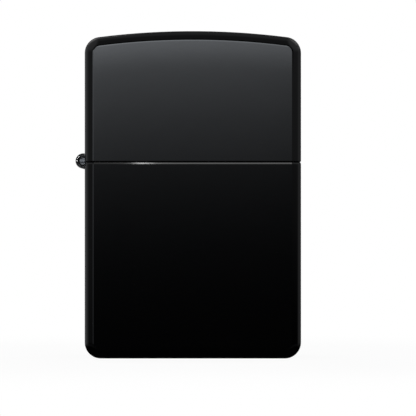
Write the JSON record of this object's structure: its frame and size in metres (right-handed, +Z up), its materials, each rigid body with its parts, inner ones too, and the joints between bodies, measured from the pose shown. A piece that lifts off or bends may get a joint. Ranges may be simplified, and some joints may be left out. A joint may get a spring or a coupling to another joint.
{
  "type": "flip-top petrol lighter",
  "caption": "Pocket petrol lighter with a hinged lid over a windscreen chimney, cam lever, striker wheel, sprung flint and wick in a packed fuel tank.",
  "frame": {"origin": "middle of the flat base that the lighter stands on", "axes": "+Z up, front faces -Y, hinge on the -X side"},
  "size_m": [0.0386, 0.013, 0.056],
  "materials": {
    "lacquer": "high gloss black lacquer over brass sheet",
    "hinge_metal": "dark polished",
    "insert_steel": "satin",
    "rivet_steel": "tumbled",
    "spring_steel": "drawn",
    "wheel_steel": "hardened, dark between the teeth",
    "brass_parts": "turned",
    "flint_alloy": "dark, granular",
    "wick_cotton": "braided cotton with fine copper wire",
    "felt": "pressed felt",
    "wadding": "loose rayon fibre"
  },
  "bodies": {
    "base": {"case_bottom": "lacquer", "hinge_leaf_lower": "hinge_metal", "hinge_pin": "hinge_metal", "insert_tank": "insert_steel", "chimney": "insert_steel", "cam_rivet": "rivet_steel", "cam_spring": "spring_steel", "cam_spring_rivet": "rivet_steel", "wheel_rivet": "rivet_steel", "flint_tube": "brass_parts", "flint_spring": "spring_steel", "flint_screw": "brass_parts", "wick": "wick_cotton", "felt_pad": "felt", "wadding_1": "wadding", "wadding_2": "wadding", "wadding_3": "wadding", "wadding_4": "wadding", "wadding_5": "wadding"},
    "lid": {"case_lid": "lacquer", "hinge_leaf_upper": "hinge_metal"},
    "cam": {"cam": "insert_steel"},
    "wheel": {"flint_wheel": "wheel_steel"},
    "flint": {"flint": "flint_alloy", "spring_tip": "brass_parts"}
  },
  "joints": [
    {"name": "lid_hinge", "type": "hinge", "parent": "base", "child": "lid", "pos_m": [-0.0188, 0, 0.0338], "axis": [0, -1, 0], "range_deg": [0, 115]},
    {"name": "cam_pivot", "type": "hinge", "parent": "base", "child": "cam", "pos_m": [-0.0092, 0, 0.0394], "axis": [0, 1, 0], "range_deg": [0, 46]},
    {"name": "wheel_spin", "type": "hinge", "parent": "base", "child": "wheel", "pos_m": [0.0096, 0, 0.0416], "axis": [0, 1, 0], "continuous": true},
    {"name": "flint_feed", "type": "slide", "parent": "base", "child": "flint", "axis": [0, 0, 1], "range_m": [-0.0015, 0], "stiffness_N_per_m": 300, "springref_m": 0.002, "deforming": ["flint_spring"]}
  ],
  "couplings": [
    {"joint": "cam_pivot", "follows": "lid_hinge", "ratio": 0.4}
  ]
}
